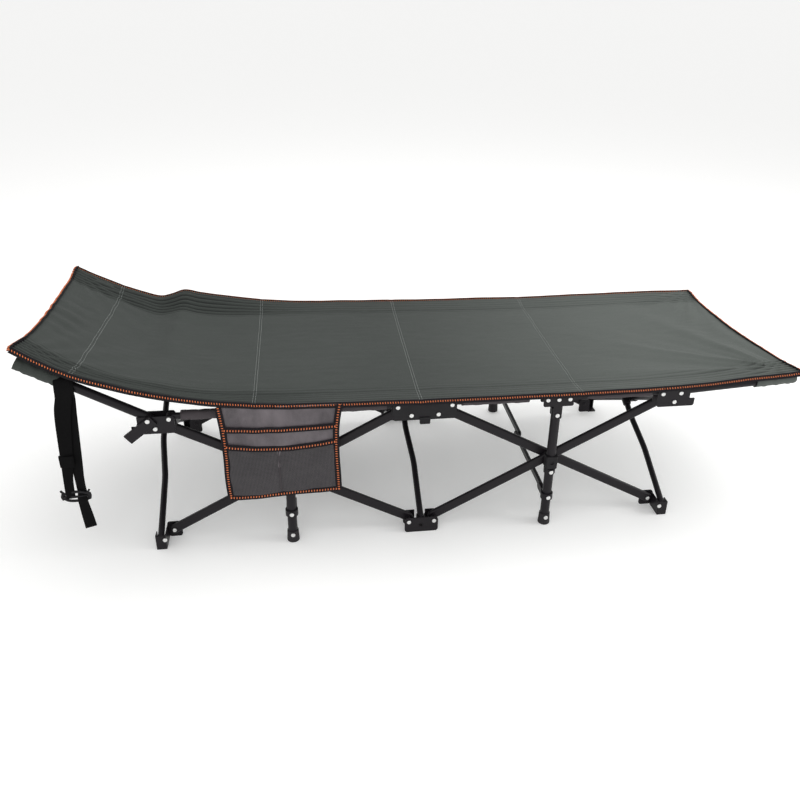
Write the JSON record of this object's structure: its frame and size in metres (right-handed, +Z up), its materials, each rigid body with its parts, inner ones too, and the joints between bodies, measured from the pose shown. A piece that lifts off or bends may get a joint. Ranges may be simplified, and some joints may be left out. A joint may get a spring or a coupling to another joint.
{
  "type": "folding cot",
  "caption": "Quick-fold camping bed with scissor sides, crossed tubes, sliding centre legs, raised head end, fabric bed, side organiser and carry strap.",
  "frame": {"origin": "on the floor under the centre of the bounding box", "axes": "+X from the head end to the toe end, +Y from the organiser side to the other side, +Z up"},
  "size_m": [1.884, 0.6596, 0.5585],
  "materials": {
    "bar_steel": "satin powder coat",
    "bracket_steel": "satin powder coat",
    "cross_steel": "satin powder coat",
    "leg_steel": "satin powder coat",
    "rail_steel": "satin powder coat",
    "hub_plastic": "moulded nylon",
    "collar_plastic": "moulded nylon",
    "cap_rubber": "matt",
    "bed_fabric": "woven polyester",
    "organiser_fabric": "coated woven polyester",
    "strap_webbing": "woven webbing",
    "buckle_plastic": "moulded",
    "rivet_steel": "zinc plated",
    "binding_tape": "woven tape",
    "stitch_thread": "twisted thread"
  },
  "bodies": {
    "front_toe_bar_a": {"front_toe_bar_a": "bar_steel"},
    "front_toe_bar_b": {"front_toe_bar_b": "bar_steel"},
    "front_toe_foot": {"front_toe_foot": "bracket_steel"},
    "front_toe_hub": {"front_toe_hub": "bracket_steel"},
    "front_toe_slider": {"front_toe_slider": "collar_plastic"},
    "front_toe_leg": {"front_toe_leg": "leg_steel", "front_toe_leg_cap": "cap_rubber"},
    "front_toe_inner_rail": {"front_toe_inner_rail": "rail_steel"},
    "front_toe_outer_rail": {"front_toe_outer_rail": "rail_steel"},
    "front_toe_end_rail": {"front_toe_end_rail": "rail_steel"},
    "front_toe_strut": {"front_toe_strut": "rail_steel"},
    "front_head_bar_a": {"front_head_bar_a": "bar_steel"},
    "front_head_bar_b": {"front_head_bar_b": "bar_steel"},
    "front_head_foot": {"front_head_foot": "bracket_steel"},
    "front_head_hub": {"front_head_hub": "bracket_steel"},
    "front_head_slider": {"front_head_slider": "collar_plastic"},
    "front_head_leg": {"front_head_leg": "leg_steel", "front_head_leg_cap": "cap_rubber", "organiser": "organiser_fabric"},
    "front_head_inner_rail": {"front_head_inner_rail": "rail_steel"},
    "front_head_outer_rail": {"front_head_outer_rail": "rail_steel"},
    "front_head_end_rail": {"front_head_end_rail": "rail_steel", "carry_strap": "strap_webbing", "strap_buckle": "buckle_plastic"},
    "front_head_strut": {"front_head_strut": "rail_steel"},
    "front_mid_foot": {"front_mid_foot": "bracket_steel"},
    "front_mid_hub": {"front_mid_hub": "hub_plastic", "bed_cover": "bed_fabric"},
    "back_toe_bar_a": {"back_toe_bar_a": "bar_steel"},
    "back_toe_bar_b": {"back_toe_bar_b": "bar_steel"},
    "back_toe_foot": {"back_toe_foot": "bracket_steel"},
    "back_toe_hub": {"back_toe_hub": "bracket_steel"},
    "back_toe_slider": {"back_toe_slider": "collar_plastic"},
    "back_toe_leg": {"back_toe_leg": "leg_steel", "back_toe_leg_cap": "cap_rubber"},
    "back_toe_inner_rail": {"back_toe_inner_rail": "rail_steel"},
    "back_toe_outer_rail": {"back_toe_outer_rail": "rail_steel"},
    "back_toe_end_rail": {"back_toe_end_rail": "rail_steel"},
    "back_toe_strut": {"back_toe_strut": "rail_steel"},
    "back_head_bar_a": {"back_head_bar_a": "bar_steel"},
    "back_head_bar_b": {"back_head_bar_b": "bar_steel"},
    "back_head_foot": {"back_head_foot": "bracket_steel"},
    "back_head_hub": {"back_head_hub": "bracket_steel"},
    "back_head_slider": {"back_head_slider": "collar_plastic"},
    "back_head_leg": {"back_head_leg": "leg_steel", "back_head_leg_cap": "cap_rubber"},
    "back_head_inner_rail": {"back_head_inner_rail": "rail_steel"},
    "back_head_outer_rail": {"back_head_outer_rail": "rail_steel"},
    "back_head_end_rail": {"back_head_end_rail": "rail_steel"},
    "back_head_strut": {"back_head_strut": "rail_steel"},
    "back_mid_foot": {"back_mid_foot": "bracket_steel"},
    "back_mid_hub": {"back_mid_hub": "hub_plastic"},
    "head_cross_a": {"head_cross_a": "cross_steel"},
    "head_cross_b": {"head_cross_b": "cross_steel"},
    "mid_cross_a": {"mid_cross_a": "cross_steel"},
    "mid_cross_b": {"mid_cross_b": "cross_steel"},
    "toe_cross_a": {"toe_cross_a": "cross_steel"},
    "toe_cross_b": {"toe_cross_b": "cross_steel"}
  },
  "joints": [
    {"name": "fold", "type": "hinge", "parent": "front_mid_foot", "child": "front_toe_bar_b", "pos_m": [0.013, -0.284, 0.032], "axis": [0, -1, 0], "range_deg": [0, 46], "deforming": ["bed_cover", "organiser", "carry_strap", "strap_buckle"]},
    {"name": "front_toe_bar_a_turn", "type": "hinge", "parent": "front_toe_bar_b", "child": "front_toe_bar_a", "pos_m": [0.313, -0.27, 0.195], "axis": [0, -1, 0], "range_deg": [-92.02, 0]},
    {"name": "front_toe_foot_turn", "type": "hinge", "parent": "front_toe_bar_a", "child": "front_toe_foot", "pos_m": [0.613, -0.27, 0.032], "axis": [0, -1, 0], "range_deg": [0, 46.02]},
    {"name": "front_mid_hub_turn", "type": "hinge", "parent": "front_toe_bar_a", "child": "front_mid_hub", "pos_m": [0.013, -0.27, 0.358], "axis": [0, -1, 0], "range_deg": [0, 46.02]},
    {"name": "front_toe_hub_turn", "type": "hinge", "parent": "front_toe_bar_b", "child": "front_toe_hub", "pos_m": [0.613, -0.284, 0.358], "axis": [0, -1, 0], "range_deg": [-46.02, 0]},
    {"name": "front_toe_slider_turn", "type": "hinge", "parent": "front_toe_bar_b", "child": "front_toe_slider", "pos_m": [0.313, -0.284, 0.195], "axis": [0, -1, 0], "range_deg": [-46.02, 0]},
    {"name": "front_toe_leg_slide", "type": "slide", "parent": "front_toe_slider", "child": "front_toe_leg", "axis": [0, 0, -1], "range_m": [0, 0.07111]},
    {"name": "front_toe_inner_rail_turn", "type": "hinge", "parent": "front_mid_hub", "child": "front_toe_inner_rail", "pos_m": [0.046, -0.305, 0.382], "axis": [0, 1, 0], "range_deg": [0, 82.77]},
    {"name": "front_toe_outer_rail_turn", "type": "hinge", "parent": "front_toe_hub", "child": "front_toe_outer_rail", "pos_m": [0.58, -0.305, 0.382], "axis": [0, -1, 0], "range_deg": [0, 82.77]},
    {"name": "front_toe_end_rail_turn", "type": "hinge", "parent": "front_toe_hub", "child": "front_toe_end_rail", "pos_m": [0.627, -0.305, 0.382], "axis": [0, -1, 0], "range_deg": [0, 86.02]},
    {"name": "front_toe_strut_turn", "type": "hinge", "parent": "front_toe_leg", "child": "front_toe_strut", "pos_m": [0.313, -0.27, 0.092], "axis": [1, 0, 0], "range_deg": [0, 76.93]},
    {"name": "front_head_bar_b_turn", "type": "hinge", "parent": "front_mid_foot", "child": "front_head_bar_b", "pos_m": [-0.053, -0.284, 0.032], "axis": [0, 1, 0], "range_deg": [0, 46.02]},
    {"name": "front_head_bar_a_turn", "type": "hinge", "parent": "front_head_bar_b", "child": "front_head_bar_a", "pos_m": [-0.353, -0.27, 0.195], "axis": [0, 1, 0], "range_deg": [-92.02, 0]},
    {"name": "front_head_foot_turn", "type": "hinge", "parent": "front_head_bar_a", "child": "front_head_foot", "pos_m": [-0.653, -0.27, 0.032], "axis": [0, 1, 0], "range_deg": [0, 46.02]},
    {"name": "front_head_hub_turn", "type": "hinge", "parent": "front_head_bar_b", "child": "front_head_hub", "pos_m": [-0.653, -0.284, 0.358], "axis": [0, 1, 0], "range_deg": [-46.02, 0]},
    {"name": "front_head_slider_turn", "type": "hinge", "parent": "front_head_bar_b", "child": "front_head_slider", "pos_m": [-0.353, -0.284, 0.195], "axis": [0, 1, 0], "range_deg": [-46.02, 0]},
    {"name": "front_head_leg_slide", "type": "slide", "parent": "front_head_slider", "child": "front_head_leg", "axis": [0, 0, -1], "range_m": [0, 0.07111]},
    {"name": "front_head_inner_rail_turn", "type": "hinge", "parent": "front_mid_hub", "child": "front_head_inner_rail", "pos_m": [-0.086, -0.305, 0.382], "axis": [0, -1, 0], "range_deg": [0, 82.77]},
    {"name": "front_head_outer_rail_turn", "type": "hinge", "parent": "front_head_hub", "child": "front_head_outer_rail", "pos_m": [-0.62, -0.305, 0.382], "axis": [0, 1, 0], "range_deg": [0, 82.77]},
    {"name": "front_head_end_rail_turn", "type": "hinge", "parent": "front_head_hub", "child": "front_head_end_rail", "pos_m": [-0.667, -0.305, 0.382], "axis": [0, 1, 0], "range_deg": [0, 60.02]},
    {"name": "front_head_strut_turn", "type": "hinge", "parent": "front_head_leg", "child": "front_head_strut", "pos_m": [-0.353, -0.27, 0.092], "axis": [1, 0, 0], "range_deg": [0, 76.93]},
    {"name": "mid_cross_a_turn", "type": "hinge", "parent": "front_mid_foot", "child": "mid_cross_a", "pos_m": [-0.02, -0.3, 0.032], "axis": [1, 0, 0], "range_deg": [0, 46.02]},
    {"name": "mid_cross_b_turn", "type": "hinge", "parent": "mid_cross_a", "child": "mid_cross_b", "pos_m": [-0.02, 0, 0.195], "axis": [1, 0, 0], "range_deg": [-92.02, 0]},
    {"name": "back_mid_hub_turn", "type": "hinge", "parent": "mid_cross_a", "child": "back_mid_hub", "pos_m": [-0.02, 0.3, 0.358], "axis": [1, 0, 0], "range_deg": [-46.02, 0]},
    {"name": "back_mid_foot_turn", "type": "hinge", "parent": "mid_cross_b", "child": "back_mid_foot", "pos_m": [-0.02, 0.3, 0.032], "axis": [1, 0, 0], "range_deg": [0, 46.02]},
    {"name": "head_cross_a_turn", "type": "hinge", "parent": "front_head_foot", "child": "head_cross_a", "pos_m": [-0.683, -0.3, 0.032], "axis": [1, 0, 0], "range_deg": [0, 46.02]},
    {"name": "head_cross_b_turn", "type": "hinge", "parent": "head_cross_a", "child": "head_cross_b", "pos_m": [-0.683, 0, 0.195], "axis": [1, 0, 0], "range_deg": [-92.02, 0]},
    {"name": "toe_cross_a_turn", "type": "hinge", "parent": "front_toe_foot", "child": "toe_cross_a", "pos_m": [0.643, -0.3, 0.032], "axis": [1, 0, 0], "range_deg": [0, 46.02]},
    {"name": "toe_cross_b_turn", "type": "hinge", "parent": "toe_cross_a", "child": "toe_cross_b", "pos_m": [0.643, 0, 0.195], "axis": [1, 0, 0], "range_deg": [-92.02, 0]},
    {"name": "back_toe_bar_a_turn", "type": "hinge", "parent": "back_mid_hub", "child": "back_toe_bar_a", "pos_m": [0.013, 0.27, 0.358], "axis": [0, -1, 0], "range_deg": [-46.02, 0]},
    {"name": "back_toe_foot_turn", "type": "hinge", "parent": "back_toe_bar_a", "child": "back_toe_foot", "pos_m": [0.613, 0.27, 0.032], "axis": [0, -1, 0], "range_deg": [0, 46.02]},
    {"name": "back_toe_bar_b_turn", "type": "hinge", "parent": "back_toe_bar_a", "child": "back_toe_bar_b", "pos_m": [0.313, 0.284, 0.195], "axis": [0, -1, 0], "range_deg": [0, 92.02]},
    {"name": "back_toe_hub_turn", "type": "hinge", "parent": "back_toe_bar_b", "child": "back_toe_hub", "pos_m": [0.613, 0.284, 0.358], "axis": [0, -1, 0], "range_deg": [-46.02, 0]},
    {"name": "back_toe_slider_turn", "type": "hinge", "parent": "back_toe_bar_b", "child": "back_toe_slider", "pos_m": [0.313, 0.284, 0.195], "axis": [0, -1, 0], "range_deg": [-46.02, 0]},
    {"name": "back_toe_leg_slide", "type": "slide", "parent": "back_toe_slider", "child": "back_toe_leg", "axis": [0, 0, -1], "range_m": [0, 0.07111]},
    {"name": "back_toe_inner_rail_turn", "type": "hinge", "parent": "back_mid_hub", "child": "back_toe_inner_rail", "pos_m": [0.046, 0.305, 0.382], "axis": [0, 1, 0], "range_deg": [0, 82.77]},
    {"name": "back_toe_outer_rail_turn", "type": "hinge", "parent": "back_toe_hub", "child": "back_toe_outer_rail", "pos_m": [0.58, 0.305, 0.382], "axis": [0, -1, 0], "range_deg": [0, 82.77]},
    {"name": "back_toe_end_rail_turn", "type": "hinge", "parent": "back_toe_hub", "child": "back_toe_end_rail", "pos_m": [0.627, 0.305, 0.382], "axis": [0, -1, 0], "range_deg": [0, 90.02]},
    {"name": "back_toe_strut_turn", "type": "hinge", "parent": "back_toe_leg", "child": "back_toe_strut", "pos_m": [0.313, 0.27, 0.092], "axis": [-1, 0, 0], "range_deg": [0, 76.93]},
    {"name": "back_head_bar_a_turn", "type": "hinge", "parent": "back_mid_hub", "child": "back_head_bar_a", "pos_m": [-0.053, 0.27, 0.358], "axis": [0, 1, 0], "range_deg": [-46.02, 0]},
    {"name": "back_head_foot_turn", "type": "hinge", "parent": "back_head_bar_a", "child": "back_head_foot", "pos_m": [-0.653, 0.27, 0.032], "axis": [0, 1, 0], "range_deg": [0, 46.02]},
    {"name": "back_head_bar_b_turn", "type": "hinge", "parent": "back_head_bar_a", "child": "back_head_bar_b", "pos_m": [-0.353, 0.284, 0.195], "axis": [0, 1, 0], "range_deg": [0, 92.02]},
    {"name": "back_head_hub_turn", "type": "hinge", "parent": "back_head_bar_b", "child": "back_head_hub", "pos_m": [-0.653, 0.284, 0.358], "axis": [0, 1, 0], "range_deg": [-46.02, 0]},
    {"name": "back_head_slider_turn", "type": "hinge", "parent": "back_head_bar_b", "child": "back_head_slider", "pos_m": [-0.353, 0.284, 0.195], "axis": [0, 1, 0], "range_deg": [-46.02, 0]},
    {"name": "back_head_leg_slide", "type": "slide", "parent": "back_head_slider", "child": "back_head_leg", "axis": [0, 0, -1], "range_m": [0, 0.07111]},
    {"name": "back_head_inner_rail_turn", "type": "hinge", "parent": "back_mid_hub", "child": "back_head_inner_rail", "pos_m": [-0.086, 0.305, 0.382], "axis": [0, -1, 0], "range_deg": [0, 82.77]},
    {"name": "back_head_outer_rail_turn", "type": "hinge", "parent": "back_head_hub", "child": "back_head_outer_rail", "pos_m": [-0.62, 0.305, 0.382], "axis": [0, 1, 0], "range_deg": [0, 82.77]},
    {"name": "back_head_end_rail_turn", "type": "hinge", "parent": "back_head_hub", "child": "back_head_end_rail", "pos_m": [-0.667, 0.305, 0.382], "axis": [0, 1, 0], "range_deg": [0, 64.02]},
    {"name": "back_head_strut_turn", "type": "hinge", "parent": "back_head_leg", "child": "back_head_strut", "pos_m": [-0.353, 0.27, 0.092], "axis": [-1, 0, 0], "range_deg": [0, 76.93]}
  ],
  "couplings": [
    {"joint": "front_toe_bar_a_turn", "follows": "fold", "ratio": -2},
    {"joint": "front_toe_foot_turn", "follows": "fold", "ratio": 1},
    {"joint": "front_mid_hub_turn", "follows": "fold", "ratio": 1},
    {"joint": "front_toe_hub_turn", "follows": "fold", "ratio": -1},
    {"joint": "front_toe_slider_turn", "follows": "fold", "ratio": -1},
    {"joint": "front_toe_leg_slide", "follows": "fold", "m_per_rad": 0.08851},
    {"joint": "front_toe_inner_rail_turn", "follows": "fold", "ratio": 1.799},
    {"joint": "front_toe_outer_rail_turn", "follows": "fold", "ratio": 1.799},
    {"joint": "front_toe_end_rail_turn", "follows": "fold", "ratio": 1.8696},
    {"joint": "front_toe_strut_turn", "follows": "fold", "ratio": 1.672},
    {"joint": "front_head_bar_b_turn", "follows": "fold", "ratio": 1},
    {"joint": "front_head_bar_a_turn", "follows": "fold", "ratio": -2},
    {"joint": "front_head_foot_turn", "follows": "fold", "ratio": 1},
    {"joint": "front_head_hub_turn", "follows": "fold", "ratio": -1},
    {"joint": "front_head_slider_turn", "follows": "fold", "ratio": -1},
    {"joint": "front_head_leg_slide", "follows": "fold", "m_per_rad": 0.08851},
    {"joint": "front_head_inner_rail_turn", "follows": "fold", "ratio": 1.799},
    {"joint": "front_head_outer_rail_turn", "follows": "fold", "ratio": 1.799},
    {"joint": "front_head_end_rail_turn", "follows": "fold", "ratio": 1.3043},
    {"joint": "front_head_strut_turn", "follows": "fold", "ratio": 1.672},
    {"joint": "mid_cross_a_turn", "follows": "fold", "ratio": 1},
    {"joint": "mid_cross_b_turn", "follows": "fold", "ratio": -2},
    {"joint": "back_mid_hub_turn", "follows": "fold", "ratio": -1},
    {"joint": "back_mid_foot_turn", "follows": "fold", "ratio": 1},
    {"joint": "head_cross_a_turn", "follows": "fold", "ratio": 1},
    {"joint": "head_cross_b_turn", "follows": "fold", "ratio": -2},
    {"joint": "toe_cross_a_turn", "follows": "fold", "ratio": 1},
    {"joint": "toe_cross_b_turn", "follows": "fold", "ratio": -2},
    {"joint": "back_toe_bar_a_turn", "follows": "fold", "ratio": -1},
    {"joint": "back_toe_foot_turn", "follows": "fold", "ratio": 1},
    {"joint": "back_toe_bar_b_turn", "follows": "fold", "ratio": 2},
    {"joint": "back_toe_hub_turn", "follows": "fold", "ratio": -1},
    {"joint": "back_toe_slider_turn", "follows": "fold", "ratio": -1},
    {"joint": "back_toe_leg_slide", "follows": "fold", "m_per_rad": 0.08851},
    {"joint": "back_toe_inner_rail_turn", "follows": "fold", "ratio": 1.799},
    {"joint": "back_toe_outer_rail_turn", "follows": "fold", "ratio": 1.799},
    {"joint": "back_toe_end_rail_turn", "follows": "fold", "ratio": 1.9565},
    {"joint": "back_toe_strut_turn", "follows": "fold", "ratio": 1.672},
    {"joint": "back_head_bar_a_turn", "follows": "fold", "ratio": -1},
    {"joint": "back_head_foot_turn", "follows": "fold", "ratio": 1},
    {"joint": "back_head_bar_b_turn", "follows": "fold", "ratio": 2},
    {"joint": "back_head_hub_turn", "follows": "fold", "ratio": -1},
    {"joint": "back_head_slider_turn", "follows": "fold", "ratio": -1},
    {"joint": "back_head_leg_slide", "follows": "fold", "m_per_rad": 0.08851},
    {"joint": "back_head_inner_rail_turn", "follows": "fold", "ratio": 1.799},
    {"joint": "back_head_outer_rail_turn", "follows": "fold", "ratio": 1.799},
    {"joint": "back_head_end_rail_turn", "follows": "fold", "ratio": 1.3913},
    {"joint": "back_head_strut_turn", "follows": "fold", "ratio": 1.672}
  ]
}
